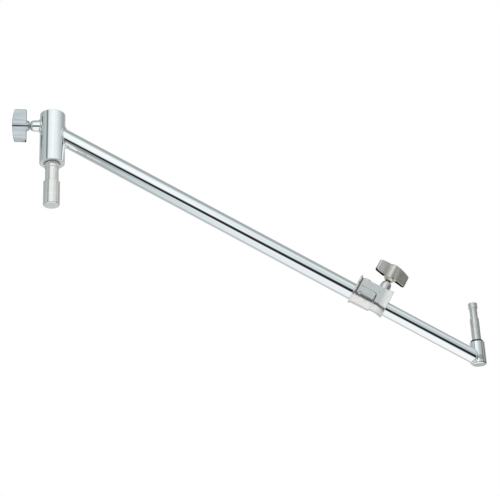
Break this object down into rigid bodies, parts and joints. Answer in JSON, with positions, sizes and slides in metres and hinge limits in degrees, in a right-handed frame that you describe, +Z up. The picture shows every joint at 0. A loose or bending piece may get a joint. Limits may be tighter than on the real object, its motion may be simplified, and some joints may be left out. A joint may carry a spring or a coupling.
{
  "type": "flag arm",
  "caption": "Telescopic flag arm: junior pin under a clamping receiver sleeve, slanted sliding tubes with a clamp collar, and an upright baby stud at the far end.",
  "frame": {"origin": "centre of the junior pin's end face", "axes": "+Z up along the sleeve's axis from the pin's end to the receiver's mouth; +X level, from the sleeve towards the baby stud; +Y level, away from the side that the picture shows"},
  "size_m": [0.8073, 0.044, 0.4689],
  "materials": {
    "chrome_plate": "bright chrome plate on steel",
    "cast_alloy": "satin cast, tumbled",
    "knob_alloy": "polished cast",
    "zinc_steel": "zinc plated",
    "brass": "turned",
    "black_rubber": "matte",
    "nylon": "moulded, natural white"
  },
  "bodies": {
    "arm": {"receiver_sleeve": "chrome_plate", "screw_boss": "chrome_plate", "boss_weld": "chrome_plate", "junior_pin": "chrome_plate", "outer_tube": "chrome_plate", "arm_weld": "chrome_plate", "clamp_collar": "cast_alloy", "collar_rivet_front": "zinc_steel", "collar_rivet_back": "zinc_steel"},
    "guide": {"guide_bush": "nylon"},
    "extension": {"inner_tube": "chrome_plate", "end_socket": "chrome_plate", "socket_weld": "chrome_plate", "baby_stud": "chrome_plate", "stud_ring": "black_rubber", "stud_set_screw": "zinc_steel"},
    "receiver_pad": {"receiver_pad": "brass"},
    "receiver_knob": {"receiver_knob": "knob_alloy", "receiver_screw": "zinc_steel"},
    "clamp_pad": {"clamp_pad": "brass"},
    "clamp_knob": {"clamp_knob": "knob_alloy", "clamp_screw": "zinc_steel"}
  },
  "joints": [
    {"name": "extension_slide", "type": "slide", "parent": "arm", "child": "guide", "axis": [0.866, 0, -0.5], "range_m": [-0.095, 0.39]},
    {"name": "extension_swivel", "type": "hinge", "parent": "guide", "child": "extension", "pos_m": [0, 0, 0.143], "axis": [0.866, 0, -0.5], "continuous": true},
    {"name": "receiver_screw_feed", "type": "slide", "parent": "arm", "child": "receiver_pad", "axis": [-1, 0, 0], "range_m": [0, 0.012]},
    {"name": "receiver_knob_turn", "type": "hinge", "parent": "receiver_pad", "child": "receiver_knob", "pos_m": [0, 0, 0.153], "axis": [-1, 0, 0], "range_deg": [0, 2881]},
    {"name": "clamp_screw_feed", "type": "slide", "parent": "arm", "child": "clamp_pad", "axis": [0.5, 0, 0.866], "range_m": [0, 0.005]},
    {"name": "clamp_knob_turn", "type": "hinge", "parent": "clamp_pad", "child": "clamp_knob", "pos_m": [0.55469, 0, -0.17725], "axis": [0.5, 0, 0.866], "range_deg": [0, 1201]}
  ],
  "couplings": [
    {"joint": "receiver_knob_turn", "follows": "receiver_screw_feed", "rad_per_m": 4188.8},
    {"joint": "clamp_knob_turn", "follows": "clamp_screw_feed", "rad_per_m": 4188.8}
  ]
}
